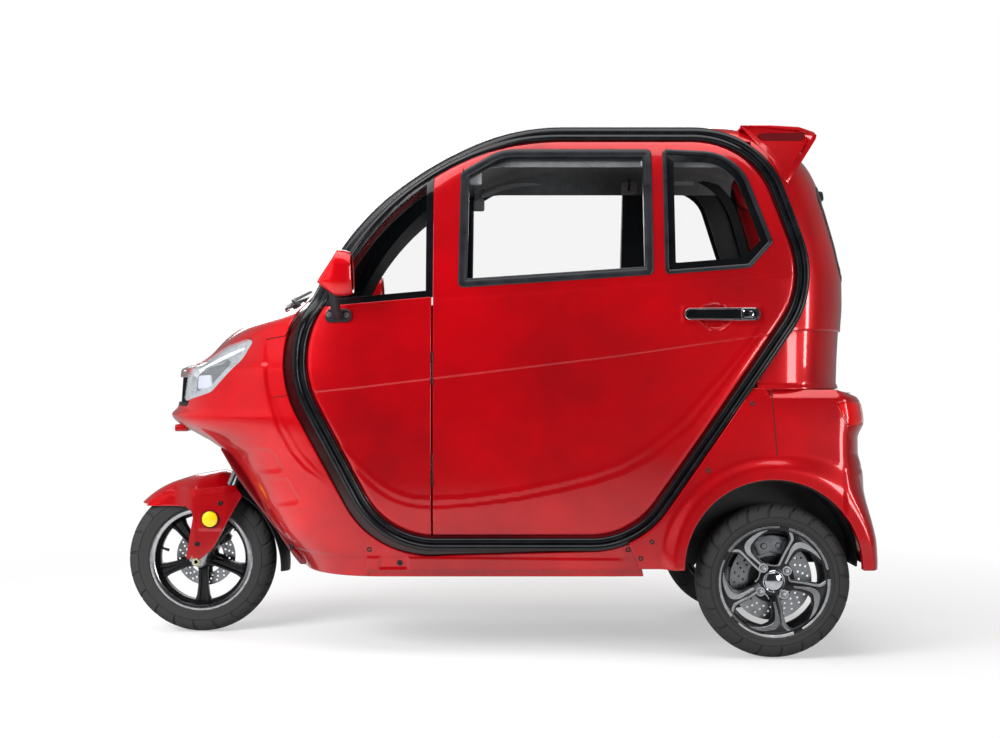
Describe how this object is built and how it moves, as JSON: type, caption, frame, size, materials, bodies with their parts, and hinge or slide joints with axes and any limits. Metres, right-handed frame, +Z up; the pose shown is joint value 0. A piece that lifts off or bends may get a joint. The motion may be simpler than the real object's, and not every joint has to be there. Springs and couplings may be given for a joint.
{
  "type": "cabin scooter",
  "caption": "Enclosed electric cabin scooter on three wheels, with a steered front wheel, hinged side doors, two seats in tandem and a rear spoiler.",
  "frame": {"origin": "on the ground, at the middle of the length and of the width", "axes": "+X forward, +Y to the rider's left, +Z up"},
  "size_m": [2.3578, 1.292, 1.61],
  "materials": {
    "red_panel": "candy red clear-coated body panel",
    "black_plastic": "grained black moulded plastic",
    "door_seal": "smooth black rubber seal",
    "window_glass": "clear toughened glass",
    "lamp_clear": "clear lamp cover over a silver reflector",
    "lamp_red": "red lamp lens",
    "trim_grey": "grained dark grey interior plastic",
    "seat_cover": "black leather cloth",
    "frame_enamel": "black chassis enamel",
    "black_metal": "satin black painted tube",
    "motor_casting": "cast housing",
    "battery_case": "moulded battery case",
    "fork_alloy": "silver fork leg",
    "wheel_alloy": "cast alloy, black with polished faces",
    "handle_chrome": "chromed door handle bezel",
    "tyre_rubber": "road tyre"
  },
  "bodies": {
    "cabin": {"chassis_frame": "frame_enamel", "rear_axle": "frame_enamel", "drive_motor": "motor_casting", "floor_tray": "trim_grey", "front_liner": "black_plastic", "nose_shell": "red_panel", "bonnet": "red_panel", "front_grille": "black_plastic", "windscreen": "window_glass", "roof_panel": "red_panel", "rear_upper_shell": "red_panel", "rear_window": "window_glass", "spoiler": "red_panel", "rear_lower_shell": "red_panel", "dashboard": "trim_grey", "battery_pack": "battery_case", "rear_bench_base": "trim_grey", "driver_seat_base": "trim_grey", "rear_seat": "seat_cover", "driver_seat": "seat_cover", "side_frame_left": "door_seal", "front_panel_left": "red_panel", "front_quarter_glass_left": "window_glass", "sill_left": "red_panel", "headlamp_left": "lamp_clear", "tail_lamp_left": "lamp_red", "wheel_liner_left": "black_plastic", "mirror_left": "red_panel", "side_frame_right": "door_seal", "front_panel_right": "red_panel", "front_quarter_glass_right": "window_glass", "sill_right": "red_panel", "headlamp_right": "lamp_clear", "tail_lamp_right": "lamp_red", "wheel_liner_right": "black_plastic", "mirror_right": "red_panel"},
    "steering": {"fork": "fork_alloy", "front_mudguard": "red_panel", "handlebar": "black_metal", "fork_shroud_left": "red_panel", "fork_shroud_right": "red_panel"},
    "front_wheel": {"front_rim": "wheel_alloy", "front_tyre": "tyre_rubber"},
    "rear_wheel_left": {"rear_rim_left": "wheel_alloy", "rear_tyre_left": "tyre_rubber"},
    "door_left": {"door_left": "red_panel", "door_glass_left": "window_glass", "door_quarter_glass_left": "window_glass", "door_handle_left": "handle_chrome"},
    "rear_wheel_right": {"rear_rim_right": "wheel_alloy", "rear_tyre_right": "tyre_rubber"},
    "door_right": {"door_right": "red_panel", "door_glass_right": "window_glass", "door_quarter_glass_right": "window_glass", "door_handle_right": "handle_chrome"}
  },
  "joints": [
    {"name": "steering", "type": "hinge", "parent": "cabin", "child": "steering", "pos_m": [0.9, 0, 0.23934], "axis": [-0.4067, 0, 0.9135], "range_deg": [-32, 32]},
    {"name": "front_wheel_spin", "type": "hinge", "parent": "steering", "child": "front_wheel", "pos_m": [0.939, 0, 0.23934], "axis": [0, 1, 0], "continuous": true},
    {"name": "rear_wheel_left_spin", "type": "hinge", "parent": "cabin", "child": "rear_wheel_left", "pos_m": [-0.85, 0.4575, 0.22889], "axis": [0, 1, 0], "continuous": true},
    {"name": "rear_wheel_right_spin", "type": "hinge", "parent": "cabin", "child": "rear_wheel_right", "pos_m": [-0.85, -0.4575, 0.22889], "axis": [0, 1, 0], "continuous": true},
    {"name": "door_left_hinge", "type": "hinge", "parent": "cabin", "child": "door_left", "pos_m": [0.165, 0.504, 0.71], "axis": [0, 0, -1], "range_deg": [0, 65]},
    {"name": "door_right_hinge", "type": "hinge", "parent": "cabin", "child": "door_right", "pos_m": [0.165, -0.504, 0.71], "axis": [0, 0, 1], "range_deg": [0, 65]}
  ]
}
